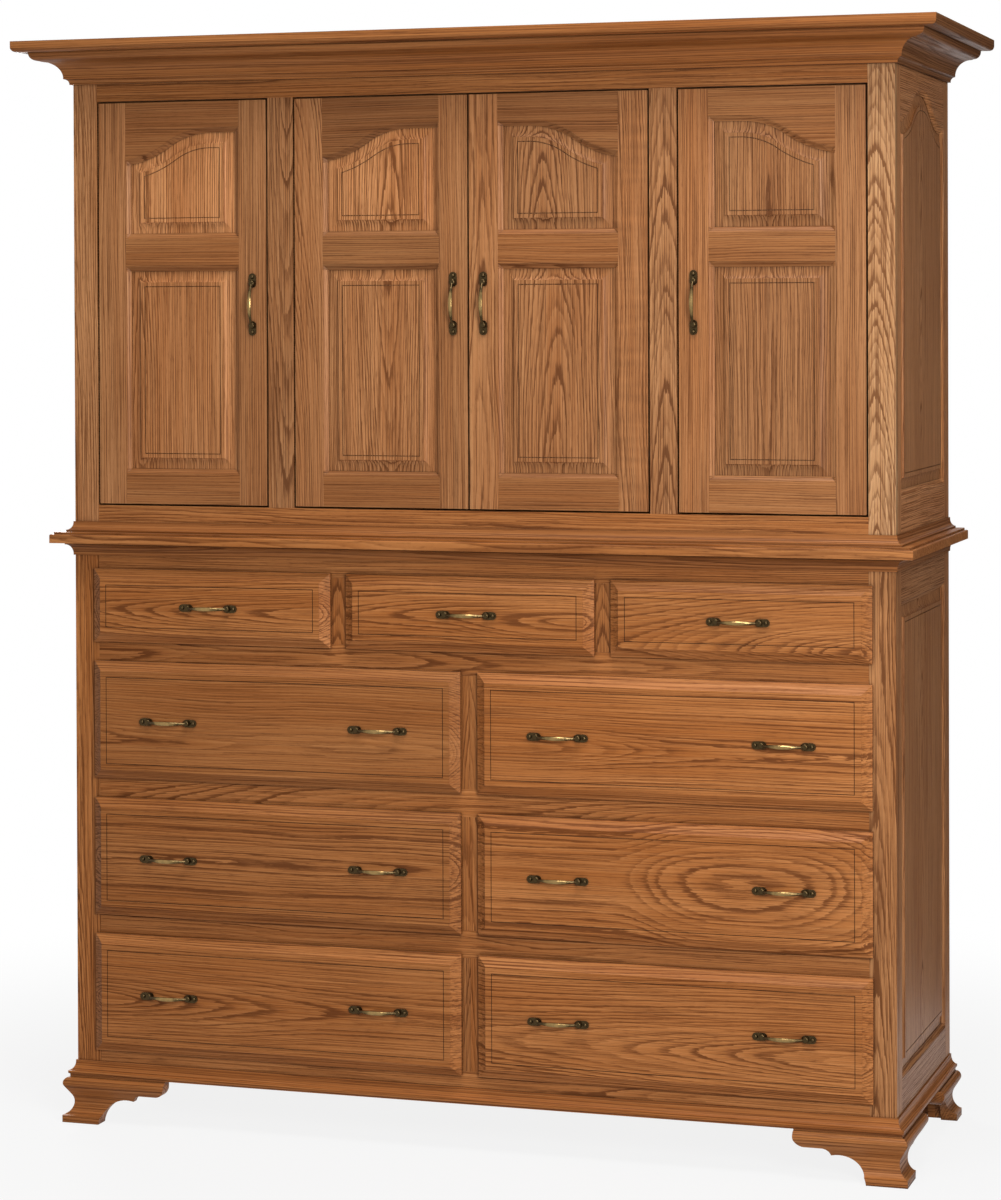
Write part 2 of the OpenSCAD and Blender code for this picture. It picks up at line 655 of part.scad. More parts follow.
// The ogee section of a bracket: projection and height.
function foot_section() = concat(
    [[-foot_in, 0], [toe_out, 0], [toe_out, toe_h]],
    arc(toe_out + 8, toe_h + 23, 25, 241, 146, 2 * mould_steps),
    arc(toe_out / 2, foot_h - 13, 10.4, -32, 90),
    [[toe_out / 2 - 0.5, foot_h], [-foot_in, foot_h]]);
// An ogee bracket along +X from the case corner, its end at the corner mitred or square.
module ogee_bracket(mitred) {
    intersection() {
        translate([0, foot_in + 1, 0]) rotate([90, 0, 0]) linear_extrude(toe_out + foot_in + 2) bracket_outline();
        translate([-toe_out - 1, 0, 0]) rotate([90, 0, 90]) linear_extrude(foot_len + toe_out + 2)
            polygon([for (q = foot_section()) [-q[0], q[1]]]);
        if (mitred)
            linear_extrude(foot_h) polygon([[foot_in + glue, foot_in], [-toe_out + glue, -toe_out],
                [foot_len + 1, -toe_out], [foot_len + 1, foot_in]]);
        else
            translate([0, -toe_out, 0]) cube([foot_len + 1, toe_out + foot_in, foot_h]);
    }
}
// Front feet are mitred pairs of brackets; rear feet have one ogee bracket and a plain back board.
module bracket_feet() {
    half = case_w / 2;
    color(OAK_DARK) at_front() for (side = [0, 1]) mirror([side, 0, 0]) {
        translate([-half, 0, 0]) ogee_bracket(true);
        translate([-half, 0, 0]) mirror([1, -1, 0]) ogee_bracket(true);
        translate([-half, case_d, 0]) rotate([0, 0, -90]) ogee_bracket(false);
        translate([-half + foot_in + glue, case_d, 0]) rotate([90, 0, 0]) linear_extrude(frame_t)
            intersection() {
                bracket_outline();
                square([foot_len - foot_in, foot_h]);
            }
        for (y = [foot_in + glue, case_d - frame_t - glue - foot_block])
            board([-half + foot_in + glue, y, block_lift], [foot_block, foot_block, foot_h - block_lift]);
    }
}

// The bow of a pull as one skin over oval rings, thick in the middle and thin at its ends.
module bow() {
    rings = 14;
    sides = 12;
    reach = pull_centres / 2;
    low = 6;
    points = [for (i = [0:rings], k = [0:sides - 1])
        let (
            t = 2 * i / rings - 1,
            x = reach * t,
            swell_here = pow(cos(90 * t), 1.3),
            r = bow_end_r + (bow_r - bow_end_r) * swell_here,
            depth_r = bow_end_r + (bow_r - bow_end_r) * 0.45 * swell_here,
            out = low + (pull_out - low - depth_r) * pow(cos(90 * t), 0.8),
            a = 360 * k / sides
        )
        [x, -out + depth_r * sin(a), r * cos(a)]];
    skin = [for (i = [0:rings - 1], k = [0:sides - 1])
        let (n = (k + 1) % sides, a = i * sides, b = a + sides)
        each [[a + k, b + n, b + k], [a + k, a + n, b + n]]];
    caps = [for (k = [1:sides - 2]) each [[0, k + 1, k],
        [rings * sides, rings * sides + k, rings * sides + k + 1]]];
    polyhedron(points = points, faces = concat(skin, caps));
}
// One end of a pull: a plate with round ends, a domed boss and the lug that carries the bow.
module pull_end() {
    plate_t = 2.2;
    boss_r = 4;
    lug_r = 5.6;
    round_r = plate_w / 2;
    x0 = pull_len / 2 - plate_len + round_r;
    x1 = pull_len / 2 - round_r;
    rotate([90, 0, 0]) linear_extrude(plate_t)
        polygon(concat(arc(x1, 0, round_r, -90, 90), arc(x0, 0, round_r, 90, 270)));
    translate([x1 + 0.6, -plate_t, 0]) rotate([90, 0, 0])
        rotate_extrude() polygon(concat([[0, -1], [boss_r, -1]], arc(0, 0, boss_r, 0, 90)));
    translate([pull_centres / 2, 0, 0]) rotate([90, 0, 0])
        rotate_extrude() polygon(concat([[0, 0], [lug_r, 0]], arc(lug_r - 3, plate_t + 4, 3, 0, 90), [[0, plate_t + 7]]));
}
// A pull along X with its plates on the plane y = 0, and its screws through wood of thickness t.
module pull(t) {
    head_h = 2.4;
    color(BRASS) {
        bow();
        for (side = [0, 1])
            mirror([side, 0, 0]) pull_end();
    }
    color(STEEL) for (side = [-1, 1])
        translate([side * pull_centres / 2, glue, 0]) rotate([-90, 0, 0]) {
            cylinder(r = screw_r, h = t + head_h / 2);
            translate([0, 0, t]) cylinder(r = 2.2 * screw_r, h = head_h);
        }
}
// The two holes for a pull's screws.
module pull_holes(t) {
    for (side = [-1, 1])
        translate([side * pull_centres / 2, -1, 0]) rotate([-90, 0, 0])
            cylinder(r = screw_r + screw_gap, h = t + 2);
}

// Puts a door's lower free corner and front on the origin, mirrored for the doors on the right.
module at_door(d) {
    at_front() mirror([d[3] > 0 ? 1 : 0, 0, 0]) translate([-d[1], 0, door_z]) children();
}
module door_frame(d) {
    w = d[2];
    xa = door_stile;
    xb = w - door_stile;
    z1 = door_bottom;
    z2 = z1 + door_panel_h;
    z3 = z2 + door_middle;
    color(OAK_LIGHT) at_door(d) {
        difference() {
            frame_stile(0, xa, 0, door_h, door_t);
            for (z = [hinge_in, door_h - hinge_in])
                translate([cup_edge + cup_r, door_t - cup_d, z]) rotate([-90, 0, 0])
                    cylinder(r = cup_r, h = cup_d + 1);
        }
        difference() {
            frame_stile(w, xb, 0, door_h, door_t);
            translate([w - door_stile / 2, 0, door_pull_up]) rotate([0, 90, 0]) pull_holes(door_t);
        }
        frame_rail(xa, xb, 0, z1, door_t, false, true);
        frame_rail(xa, xb, z2, z3, door_t, true, true);
        arched_rail(xa, xb, door_h - door_top, door_h, door_t, false);
    }
}
module door_panels(d) {
    xa = door_stile;
    xb = d[2] - door_stile;
    z1 = door_bottom;
    z2 = z1 + door_panel_h;
    color(OAK) at_door(d) {
        raised_panel(xa, xb, z1, z2);
        raised_panel(xa, xb, z2 + door_middle, door_h - door_top, true);
    }
}
module door_pull(d) {
    at_door(d) translate([d[2] - door_stile / 2, 0, door_pull_up]) rotate([0, 90, 0]) pull(door_t);
}
// Cups let into the back of the hinge stile, each with its flange.
module hinge_cups(d) {
    wall = 1.2;
    fit = 0.1;
    flange = [12, 1.2, 52];
    color(STEEL) at_door(d) for (z = [hinge_in, door_h - hinge_in])
        translate([cup_edge + cup_r, door_t, z]) difference() {
            union() {
                translate([0, flange[1], 0]) rotate([90, 0, 0]) cylinder(r = cup_r - fit, h = cup_d - fit + flange[1]);
                translate([-flange[0] / 2, glue, -flange[2] / 2]) cube([flange[0], flange[1] - glue, flange[2]]);
            }
            translate([0, flange[1] + 1, 0]) rotate([90, 0, 0]) cylinder(r = cup_r - fit - wall, h = cup_d - wall + flange[1]);
        }
}
// Arms screwed to the back of the face frame, each reaching over a hinge cup.
module hinge_arms() {
    plate = [(mullion_w - board_t) / 2 - 3, 2, 50];
    arm_w = 12;
    arm_t = 5;
    reach = cup_edge + cup_r + 4;
    cup_clear = 0.9;
    color(STEEL) for (d = DOORS) at_door(d) for (z = [hinge_in, door_h - hinge_in])
        translate([0, frame_t, z]) {
            translate([-door_gap - plate[0] - 1, 0, -plate[2] / 2]) cube(plate);
            translate([-door_gap - plate[0], cup_clear, -arm_w / 2])
                cube([reach + door_gap + plate[0], arm_t, arm_w]);
        }
}

// Puts a drawer opening's lower left corner on the origin, in the front plane of the case.
module at_drawer(d) {
    at_front() translate([d[1], 0, d[2]]) children();
}
// Places its children at each pull of a drawer, on the plane of the drawer front.
module at_pulls(d) {
    for (k = d[5] == 1 ? [0] : [-0.5, 0.5])
        translate([d[3] / 2 + k * pull_pitch, -run_gap - front_t, d[4] / 2]) children();
}
// What is cut away along one edge of a drawer front, in from the edge and back from its face.
function bevel_cut() =
    let (deep = front_t - front_edge_t, step = 0.9)
    concat([[-1, -1], [front_bevel, -1]],
        [for (i = [0:4]) let (t = 1 - i / 4) [front_bevel * t, step + (deep - step) * (1 - pow(t, 1.15))]],
        [[-1, deep]]);
module drawer_front(d) {
    w = d[3] + 2 * lip;
    h = d[4] + 2 * lip;
    color(OAK) at_drawer(d) difference() {
        translate([-lip, -run_gap - front_t, -lip]) difference() {
            cube([w, front_t, h]);
            for (flip = [0, 1]) {
                translate([w * flip, 0, -1]) mirror([flip, 0, 0]) linear_extrude(h + 2) polygon(bevel_cut());
                translate([-1, 0, h * flip]) mirror([0, 0, flip]) rotate([90, 0, 90]) linear_extrude(w + 2)
                    polygon([for (q = bevel_cut()) [q[1], q[0]]]);
            }
            difference() {
                translate([front_bead, -1, front_bead]) cube([w - 2 * front_bead, 1 + front_line_d, h - 2 * front_bead]);
                inner = front_bead + front_line_w;
                translate([inner, -2, inner]) cube([w - 2 * inner, 3 + front_line_d, h - 2 * inner]);
            }
        }
        at_pulls(d) pull_holes(front_t);
    }
}
// Two sides, a back, a sub-front that the drawer front is screwed to, and the bottom in its grooves.
module drawer_box(d) {
    w = d[3] - 2 * side_gap;
    h = d[4] - run_gap - top_gap;
    inside = w - 2 * side_t - 2 * glue;
    tuck = side_t / 2;
    groove_h = bottom_t + 2 * glue;
    color(PLY) at_drawer(d) translate([side_gap, -run_gap, run_gap]) {
        difference() {
            for (x = [0, w - side_t])
                board([x, 0, 0], [side_t, box_d, h]);
            translate([tuck, -1, bottom_up - glue]) cube([w - 2 * tuck, box_d + 2, groove_h]);
        }
        difference() {
            board([side_t + glue, 0, 0], [inside, side_t, h]);
            translate([0, tuck, bottom_up - glue]) cube([w, side_t, groove_h]);
            translate([-side_gap, 0, -run_gap]) translate([0, run_gap + front_t, 0]) at_pulls(d) pull_holes(side_t);
        }
        board([side_t + glue, box_d - side_t, bottom_up + bottom_t + glue],
            [inside, side_t, h - bottom_up - bottom_t - glue]);
        board([tuck + glue, tuck + glue, bottom_up], [w - 2 * tuck - 2 * glue, box_d - tuck - glue, bottom_t]);
    }
}
module drawer_pulls(d) {
    at_drawer(d) at_pulls(d) pull(front_t + side_t);
}

crown_moulding();
upper_case_boards();
upper_face_frame();
upper_side_frames();
side_panels();
back_panels();
shelf();
upper_base_moulding();
hinge_arms();
waist_slab();
waist_cove_moulding();
lower_face_frame();
lower_side_frames();
drawer_guides();
dust_boards();
base_moulding();
bracket_feet();
for (d = DOORS) {
    door_frame(d);
    door_panels(d);
    door_pull(d);
    hinge_cups(d);
}
for (d = DRAWERS) {
    drawer_front(d);
    drawer_box(d);
    drawer_pulls(d);
}
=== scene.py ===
"""Looks for the mule chest: stained oak, plain drawer boxes, brass pulls and nickelled hinges."""
import math
from typing import NamedTuple

import bpy
from mathutils import Matrix, Vector


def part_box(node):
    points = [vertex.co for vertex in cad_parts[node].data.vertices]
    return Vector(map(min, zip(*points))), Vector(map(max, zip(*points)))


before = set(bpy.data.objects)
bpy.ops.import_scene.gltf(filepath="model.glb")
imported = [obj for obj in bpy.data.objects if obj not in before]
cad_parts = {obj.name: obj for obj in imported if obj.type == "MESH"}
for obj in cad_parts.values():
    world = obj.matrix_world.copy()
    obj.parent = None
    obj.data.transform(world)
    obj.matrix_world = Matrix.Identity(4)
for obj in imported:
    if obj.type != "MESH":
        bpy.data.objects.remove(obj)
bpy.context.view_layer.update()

# The cases. All sizes are in metres, as the frame holds them.
CASE_HALF = 0.762
FRONT = -0.214
BACK = 0.300
HALFWAY_BACK = 0.04
STILE = 0.047
SLAB_UNDERSIDE = 1.065
PARTITION = (0.345, 0.366)
PARTITION_HEIGHT = (1.1345, 1.951)
PARTITION_FACE = 0.35
SHELF_UNDERSIDE = 1.49895

# The doors and their frames.
DOOR_EDGES = {"left": (-0.71175, -0.38325), "centre_left": (-0.32775, -0.00163),
              "centre_right": (0.00163, 0.32775), "right": (0.38325, 0.71175)}
DOOR_BOTTOM = 1.13725
DOOR_TOP = 1.86875
DOOR_STILE = 0.053
TOP_RAIL = 0.047
ARCH_RISE = 0.0585
MOULDED_EDGE = 0.0095
LOW_RAIL_TOP = DOOR_BOTTOM + 0.055
LOCK_RAIL_LOW = LOW_RAIL_TOP + 0.3785
LOCK_RAIL_HIGH = LOCK_RAIL_LOW + 0.050
ARCH_FOOT = DOOR_TOP - TOP_RAIL - ARCH_RISE - MOULDED_EDGE
ARCH_PEAK = DOOR_TOP - TOP_RAIL - MOULDED_EDGE
PAST_LOW_RAIL = LOW_RAIL_TOP + 0.1
PAST_LOCK_RAIL = LOCK_RAIL_HIGH + 0.05
RAIL_MIDDLES = (1.165, 1.596, 1.82)
UPPER_PANELS_FROM = LOCK_RAIL_LOW + 0.02
PANEL_MIDDLES = (1.38, 1.70)
PANEL_FACE = FRONT + 0.0005
# The part of a panel's cove, by its depth, that gets none of the painted crease shade and stain.
COVE_WITHOUT_CREASE_SHADE = (PANEL_FACE + 0.00155, PANEL_FACE + 0.0045)

# The face frame of the upper case.
DOOR_OPENING = (1.134, 1.872)
UPPER_HALFWAY = 1.5
UPPER_RAIL_MIDDLES = (1.107, 1.93)
MULLION = (0.331, 0.380)
MULLION_MIDDLE = MULLION[0] + 0.0245

# The face frame of the lower case and its drawers.
MUNTIN_HALF = 0.023
TOP_MUNTIN = (0.2237, 0.2677)
TOP_MUNTIN_MIDDLE = 0.2457
DRAWER_BASE = 0.141
ROW_PITCH = 0.250
DRAWER_OPEN = 0.201
TOP_ROW = 0.891
TOP_ROW_OPEN = 0.120
TOP_ROW_RAIL = TOP_ROW - 0.02
LOWER_HALFWAY = 0.6
# How far up each row's pitch the rail over its drawers lies.
RAIL_UP_ROW = 0.9
FRONT_PROUD = 0.0193
# The fine line round a drawer front, by its distance from the edge; it gets extra painted shade and
# stain.
FRONT_LINE = (0.028, 0.028 + 0.0014)
BOX_END = 0.013
BOX_BACK = BACK - 0.055

# The case sides, the mouldings and the pulls.
UPPER_SIDE_OPENING = (1.168, 1.875)
LOWER_SIDE_OPENING = (0.170, 0.987)
SIDE_PANEL_MIDDLES = (LOWER_HALFWAY, 1.55)
MITRE_ROOM = 0.02
# The grain of the mouldings is drawn out longer than that of the boards.
MOULDING_STRETCH = 0.45
PULL_PROUD = 0.021
SCREW_SINK = 0.001


class Value:
    """A number socket of a material; arithmetic on it adds Math nodes.

    Adding 0 and multiplying by 1 change nothing, and so they add no node.
    """

    def __init__(self, tree, socket):
        self.tree = tree
        self.socket = socket

    def math(self, operation, *others):
        return self.tree.math(operation, self, *others)

    def __add__(self, other):
        return self if other == 0.0 else self.math("ADD", other)

    __radd__ = __add__

    def __sub__(self, other):
        return self.math("SUBTRACT", other)

    def __rsub__(self, other):
        return self.tree.math("SUBTRACT", other, self)

    def __mul__(self, other):
        return self if other == 1.0 else self.math("MULTIPLY", other)

    __rmul__ = __mul__

    def __truediv__(self, other):
        return self.math("DIVIDE", other)

    def __pow__(self, other):
        return self.math("POWER", other)

    def __abs__(self):
        return self.math("ABSOLUTE")

    def __gt__(self, other):
        return self.math("GREATER_THAN", other)

    def __lt__(self, other):
        return self.math("LESS_THAN", other)


class Tree:
    """A node tree and the nodes that are added to it."""

    def __init__(self, node_tree):
        self.nodes = node_tree.nodes
        self.links = node_tree.links
        self.nodes.clear()

    def put(self, socket, value):
        """Links or sets one input."""
        if isinstance(value, Value):
            self.links.new(value.socket, socket)
        else:
            socket.default_value = value

    def add(self, kind, settings=None, output=0, sockets=None, **named):
        """Adds a node with its settings first and then its sockets, by name or by number."""
        node = self.nodes.new(kind)
        for key, value in (settings or {}).items():
            setattr(node, key, value)
        for key, value in {**(sockets or {}), **named}.items():
            self.put(node.inputs[key], value)
        return Value(self, node.outputs[output])

    def math(self, operation, *values):
        return self.add("ShaderNodeMath", {"operation": operation},
                        sockets=dict(enumerate(values)))

    def noise(self, x, y, z, scale=1.0, detail=2.0, roughness=0.5):
        place = self.add("ShaderNodeCombineXYZ", X=x, Y=y, Z=z)
        return self.add("ShaderNodeTexNoise", Vector=place, Scale=scale, Detail=detail,
                        Roughness=roughness)

    def chance(self, seed):
        """A number from 0 to 1 that depends on the seed alone."""
        return self.add("ShaderNodeTexWhiteNoise", {"noise_dimensions": "1D"}, "Value", W=seed)

    def draw(self, seed, turn, low=0.0, high=1.0):
        """A number between two, the same all over one board; each turn gives it another."""
        times, plus = turn
        return self.chance(seed * times + plus) * (high - low) + low

    def ramp(self, value, low, high, out_low=0.0, out_high=1.0):
        """A smooth rise from out_low to out_high while the value goes from low to high."""
        return self.add("ShaderNodeMapRange", {"interpolation_type": "SMOOTHSTEP"},
                        sockets={0: value, 1: low, 2: high, 3: out_low, 4: out_high})

    def choose(self, mask, off, on):
        """One number where the mask is 0 and another where it is 1."""
        return off + (on - off) * mask

    def between(self, value, low, high):
        return (value > low) * (value < high)

    def either(self, *masks):
        result = masks[0]
        for mask in masks[1:]:
            result = result.math("MAXIMUM", mask)
        return result

    def past_step(self, value, step):
        """How far a number lies past the last whole step below it."""
        return value - value.math("SNAP", step)

    def count(self, value, per_metre):
        """The number of whole steps up to a place, with so many to the metre."""
        return (value * per_metre).math("FLOOR")

    def blend(self, mask, off, on):
        """A colour between two, by the mask."""
        return self.add("ShaderNodeMix", {"data_type": "RGBA"}, output=2,
                        sockets={0: mask, 6: off, 7: on})

    def scaled(self, colour, factor):
        """A colour made lighter or darker by a number."""
        return self.add("ShaderNodeVectorMath", {"operation": "SCALE"},
                        sockets={0: colour, 3: factor})

    def bump(self, height, strength, distance):
        return self.add("ShaderNodeBump", output="Normal", Strength=strength, Distance=distance,
                        Height=height)


class Finish(Tree):
    """A material of its own, with the object's coordinates to hand."""

    def __init__(self, name):
        self.material = bpy.data.materials.new(name)
        self.material.use_nodes = True
        super().__init__(self.material.node_tree)
        self.shader = self.nodes.new("ShaderNodeBsdfPrincipled")
        self.output = self.nodes.new("ShaderNodeOutputMaterial")
        self.links.new(self.shader.outputs["BSDF"], self.output.inputs["Surface"])
        position = self.add("ShaderNodeTexCoord", output="Object")
        self.x, self.y, self.z = (
            self.add("ShaderNodeSeparateXYZ", output=axis, Vector=position) for axis in "XYZ")

    def give(self, looks):
        """Sets or links the shader's inputs by their names."""
        for name, value in looks.items():
            self.put(self.shader.inputs[name], value)


class Stain(NamedTuple):
    """The colours of a finish: its light wood, its body wood and its dark open grain."""
    light: tuple
    body: tuple
    grain: tuple


# Every colour is linear.
DOOR_OAK = Stain((0.570, 0.265, 0.108, 1), (0.392, 0.148, 0.048, 1), (0.115, 0.032, 0.006, 1))
DRAWER_OAK = Stain((0.530, 0.214, 0.068, 1), (0.365, 0.120, 0.027, 1), (0.110, 0.028, 0.004, 1))
PALE_OAK = Stain((0.680, 0.390, 0.190, 1), (0.510, 0.247, 0.102, 1), (0.150, 0.046, 0.010, 1))
PLAIN_WOOD = Stain((0.640, 0.450, 0.255, 1), (0.560, 0.370, 0.195, 1), (0.330, 0.190, 0.085, 1))
STEEL = (0.55, 0.55, 0.53, 1)
PATINA = (0.062, 0.041, 0.018, 1)
RUBBED_BRASS = (0.34, 0.220, 0.085, 1)
DULL_NICKEL = (0.50, 0.50, 0.48, 1)
BRIGHT_NICKEL = (0.66, 0.66, 0.64, 1)


class Mark(NamedTuple):
    """One noise in the grain: how often it comes, how fine it is, where it shows and how much.

    along, across and into are its rates in those directions of a board, per metre. Without a rate
    into the board it runs straight through, and apart keeps it from falling on the other marks.
    It shows from low on, as much as least there, and fully from high on.
    """
    along: float
    across: float
    into: float = 0.0
    apart: float = 0.0
    detail: float = 2.0
    roughness: float = 0.5
    low: float = 0.0
    high: float = 1.0
    least: float = 0.0
    strength: float = 1.0


# Marks that move the rings, as the tree wandered, with the strength of each in metres.
WANDER = Mark(2.6, 6.0, detail=1.0, strength=0.030)
DRIFT = Mark(2.0, 9.0, apart=41.0, detail=1.0, strength=0.030)
RIPPLE = Mark(9.0, 34.0, strength=0.003)
CURL = Mark(58.0, 9.0, apart=13.0, detail=1.0, strength=0.0022)
# The ragged edges of the rings, in years: most on a flat-sawn face, and least on a quartered one.
JAGGED = Mark(24.0, 330.0, 330.0, strength=0.6)
JAGGED_LEAST = 0.1
# Marks that darken or lighten the wood.
PATCHY = Mark(9.0, 75.0, apart=5.0, low=0.28, high=0.66, least=0.40)
STREAK = Mark(4.0, 540.0, 140.0, detail=1.0, roughness=0.6, low=0.49, high=0.60, strength=0.46)
PALE = Mark(2.5, 330.0, apart=9.0, roughness=0.6, low=0.48, high=0.60, strength=0.35)
DASH = Mark(42.0, 560.0, 200.0, low=0.54, high=0.72, strength=0.28)
PORE = Mark(105.0, 1900.0, 1900.0, detail=1.0, low=0.52, high=0.66, strength=0.20)
BROAD = Mark(1.3, 11.0, apart=3.0, low=0.32, high=0.66, strength=0.45)

# The years differ in width by a noise over the radius: its rate per metre and its strength.
YEAR_RATE = 55.0
YEAR_SWAY = 2.8
# Over what part of a year the open early wood sets in and dies away, and the late wood gathers.
EARLY_IN = (0.0, 0.06)
EARLY_OUT = (0.48, 0.16)
LATE_IN = (0.45, 1.0)
LATE_STRENGTH = 0.25
# How dark the early wood is, and what is left of that in the faintest year and on a quartered face.
EARLY_STRENGTH = 1.05
FAINT_YEAR = 0.15
QUARTERED = 0.50
# How much of the pores shows in late wood, and how dark the grain may get.
LATE_PORES = 0.3
DARKEST = 0.84
# The rings never lie deeper than a cap; this is the radius of the bend where they meet it.
CAP_BEND = 0.02
# Stain, shade and polish: the spread of the boards' tones, painted shade and stain in creases and
# lines, and the surface.
TONES = (0.90, 1.10)
CURL_TONE = 0.45
CREASE_REACH = 0.010
CREASE_SHADE_AND_STAIN = (0.25, 0.95, 0.30, 1.0)
LINE_SHADE_AND_STAIN = 0.55
ROUGHER_GRAIN = 0.20
PORE_DEPTH = 0.6
GRAIN_DEPTH = 0.5
OAK_BUMP = (0.22, 0.0005)
OAK_SPECULAR = 0.18

# Each random number of a board comes from its seed, multiplied and raised by a pair of numbers.
SHIFT_TURN = (1.37, 3.1)
SPIN_TURN = (2.11, 7.7)
TONE_TURN = (5.9, 0.7)
HEART_TURN = (1.7, 0.0)
CLIMB_TURN = (2.3, 0.0)
FURTHEST_SHIFT = 9.0
FURTHEST_SPIN = 20.0


def oak(finish, along, across, depth, seed, heart=0.06, climb=0.02, below=0.03, ring=0.0034,
        wild=1.0, pointed=0.06, cap=1.0, bow=0.0, curl=None, stain=DOOR_OAK, lively=1.0, light=1.0,
        gloss=0.40, no_crease_shade=0.0, line=0.0):
    """Gives a finish the open grain of oak, cut at a slant through the rings of a trunk.

    along, across and depth are places on and under the face of a board, and seed is the board's
    own. heart is how far to one side of it the heart of the tree lay, below how deep under its
    face, and climb how fast the rings rise along it, up to a depth of cap: a near heart and a
    climb give nested arches that point the way the climb goes, more so where they are pointed,
    and a far heart gives straight lines. A bow bends the climb, which closes the arches to an eye.
    ring is the width of a year, wild how much the tree wandered, and curl, if given, the strength
    of a ripple across the grain. lively is how strong the grain is. Creases get painted shade and
    stain, but not where no_crease_shade is 1, and most of all where line is 1.
    """
    f = finish
    along_trunk = along + f.draw(seed, SHIFT_TURN, 0.0, FURTHEST_SHIFT)
    spin = f.draw(seed, SPIN_TURN, 0.0, FURTHEST_SPIN)

    def noise(mark):
        third = depth * mark.into if mark.into else spin + mark.apart
        return f.noise(along_trunk * mark.along, across * mark.across, third,
                       detail=mark.detail, roughness=mark.roughness)

    def sway(mark):
        return noise(mark) - 0.5

    def shown(mark):
        return f.ramp(noise(mark), mark.low, mark.high, mark.least, 1.0)

    # Where the rings lie: how far each point is from the heart, to its side and under it.
    aside = abs(across + heart + sway(WANDER) * wild * WANDER.strength)
    under = (below + depth + along * (along * bow + climb) + aside * pointed
             + sway(DRIFT) * wild * DRIFT.strength + sway(RIPPLE) * RIPPLE.strength)
    under = under.math("SMOOTH_MIN", cap, CAP_BEND)
    if curl is not None:
        waves = sway(CURL)
        aside = aside + waves * curl * CURL.strength
    radius = (aside * aside + under * under) ** 0.5
    flat = abs(under) / radius
    years = f.noise(radius * YEAR_RATE, spin, 0.0, detail=1.0) - 0.5
    rings = (radius / ring + years * YEAR_SWAY
             + sway(JAGGED) * (flat * JAGGED.strength + JAGGED_LEAST) + spin)

    # What each point of a year shows.
    part = rings.math("FRACT")
    year = f.chance(rings.math("FLOOR") + seed)
    early = f.ramp(part, *EARLY_IN) * f.ramp(part, *EARLY_OUT)
    late = f.ramp(part, *LATE_IN) * LATE_STRENGTH
    band = (early * shown(PATCHY) * f.ramp(year, 0.0, 1.0, FAINT_YEAR, 1.0)
            * (flat * (1.0 - QUARTERED) + QUARTERED))
    pore = shown(PORE) * (early * (1.0 - LATE_PORES) + LATE_PORES)
    lines = (band * EARLY_STRENGTH + shown(STREAK) * STREAK.strength
             + shown(DASH) * DASH.strength)
    dark = lines * lively + pore * PORE.strength
    body = f.blend(shown(BROAD) * BROAD.strength + late + shown(PALE) * PALE.strength,
                   stain.body, stain.light)

    # The board's own tone, and painted shade and stain in its creases.
    tone = f.ramp(f.draw(seed, TONE_TURN), 0.0, 1.0, *TONES) * light
    if curl is not None:
        tone = tone * (1.0 + waves * curl * CURL_TONE)
    # An ambient occlusion node paints shade, with stain, into creases and gaps.
    crease_occlusion = f.add("ShaderNodeAmbientOcclusion", {"samples": 4}, "AO", Distance=CREASE_REACH)
    tone = (tone * f.ramp(crease_occlusion, *CREASE_SHADE_AND_STAIN).math("MAXIMUM", no_crease_shade)
            * (1.0 - line * LINE_SHADE_AND_STAIN))
    colour = f.blend(dark.math("MINIMUM", DARKEST), body, stain.grain)
    height = 1.0 - (pore * PORE_DEPTH + dark * GRAIN_DEPTH)
    f.give({"Base Color": f.scaled(colour, tone), "Roughness": gloss + dark * ROUGHER_GRAIN,
            "Specular IOR Level": OAK_SPECULAR, "Normal": f.bump(height, *OAK_BUMP)})
    return f.material


def cut(heart, climb, below, ring, wild, **more):
    """How a board was cut from its tree, in the words of oak()."""
    return {"heart": heart, "climb": climb, "below": below, "ring": ring, "wild": wild, **more}


def by_board(finish, usual, *others):
    """The cut of most boards, and other cuts where a mask is 1."""
    result = dict(usual)
    for mask, other in others:
        for word, number in other.items():
            result[word] = finish.choose(mask, result[word], number)
    return result


def mixed_stain(finish, mask, off, on):
    """A stain between two, by the mask."""
    return Stain(*(finish.blend(mask, *pair) for pair in zip(off, on)))


def upright_or_level(finish, upright, sideways="x"):
    """Where stiles stand and rails lie: the places along, across and into each board."""
    f = finish
    level, depth = (f.x, f.y) if sideways == "x" else (f.y, f.x)
    return f.choose(upright, level, f.z), f.choose(upright, f.z, level), depth


class Door(NamedTuple):
    """The cuts of a door's panels and of any livelier stile, and how light its parts are.

    lively is how strong the panels' grain is, and curl the ripple of the right stile.
    """
    lower_panel: dict
    upper_panel: dict
    lively: float
    panel_light: float
    frame_light: float
    left_stile: dict = {}
    right_stile: dict = {}
    curl: float = 0.0


DOORS = {
    "left": Door(cut(0.085, 0.020, 0.030, 0.0040, 0.7), cut(0.070, -0.020, 0.030, 0.0040, 0.7),
                 lively=1.15, panel_light=1.16, frame_light=0.92),
    "centre_left": Door(cut(-0.014, -0.040, 0.038, 0.0036, 0.40),
                        cut(-0.020, 0.034, 0.036, 0.0038, 0.5),
                        lively=1.35, panel_light=1.08, frame_light=0.83,
                        left_stile=cut(0.050, 0.100, 0.050, 0.0036, 0.7)),
    "centre_right": Door(cut(0.004, 0.060, 0.044, 0.0044, 1.2),
                         cut(0.030, 0.050, 0.034, 0.0042, 1.2),
                         lively=1.15, panel_light=0.82, frame_light=0.88,
                         left_stile=cut(0.004, 0.035, 0.018, 0.0070, 1.6),
                         right_stile=cut(0.05, 0.02, 0.03, 0.0044, 0.8), curl=1.0),
    "right": Door(cut(0.012, 0.018, 0.016, 0.0042, 1.3), cut(0.004, 0.024, 0.028, 0.0042, 0.9),
                  lively=1.25, panel_light=0.80, frame_light=0.90)}


